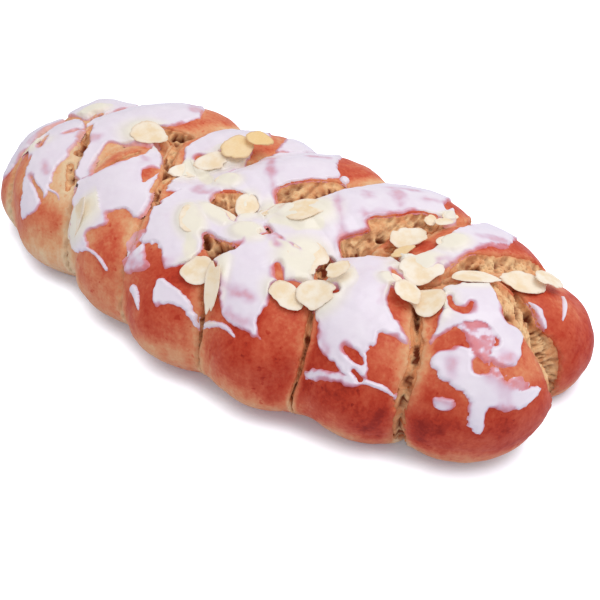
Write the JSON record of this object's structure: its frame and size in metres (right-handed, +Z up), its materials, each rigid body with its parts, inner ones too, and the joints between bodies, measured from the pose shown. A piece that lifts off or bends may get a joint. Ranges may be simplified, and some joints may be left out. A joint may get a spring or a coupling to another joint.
{
  "type": "braided easter bread",
  "caption": "Plump three-strand braided sweet loaf with a flat underside, a glossy baked crust and thin sliced almonds lying on its back.",
  "frame": {"origin": "middle of the flat underside, where the loaf rests on the table", "axes": "+X along the loaf to its blunt end, +Y across the loaf, +Z up out of its back"},
  "size_m": [0.3494, 0.1678, 0.0694],
  "materials": {
    "crust": null,
    "almond": null,
    "almond_toasted": null,
    "icing": null,
    "crumb": null
  },
  "bodies": {
    "root": {"bread": "crust", "almond_slice_01": "almond", "almond_slice_02": "almond", "almond_slice_03": "almond", "almond_slice_04": "almond_toasted", "almond_slice_05": "almond", "almond_slice_06": "almond", "almond_slice_07": "almond", "almond_slice_08": "almond_toasted", "almond_slice_09": "almond", "almond_slice_10": "almond", "almond_slice_11": "almond", "almond_slice_12": "almond_toasted", "almond_slice_13": "almond", "almond_slice_14": "almond", "almond_slice_15": "almond", "almond_slice_16": "almond_toasted", "almond_slice_17": "almond", "almond_slice_18": "almond", "almond_slice_19": "almond", "almond_slice_20": "almond_toasted", "almond_slice_21": "almond", "almond_slice_22": "almond", "almond_slice_23": "almond", "almond_slice_24": "almond_toasted", "almond_slice_25": "almond", "almond_slice_26": "almond", "almond_slice_27": "almond", "almond_slice_28": "almond_toasted", "almond_slice_29": "almond", "almond_slice_30": "almond", "almond_slice_31": "almond", "almond_slice_32": "almond_toasted", "almond_slice_33": "almond", "almond_slice_34": "almond"}
  },
  "joints": []
}
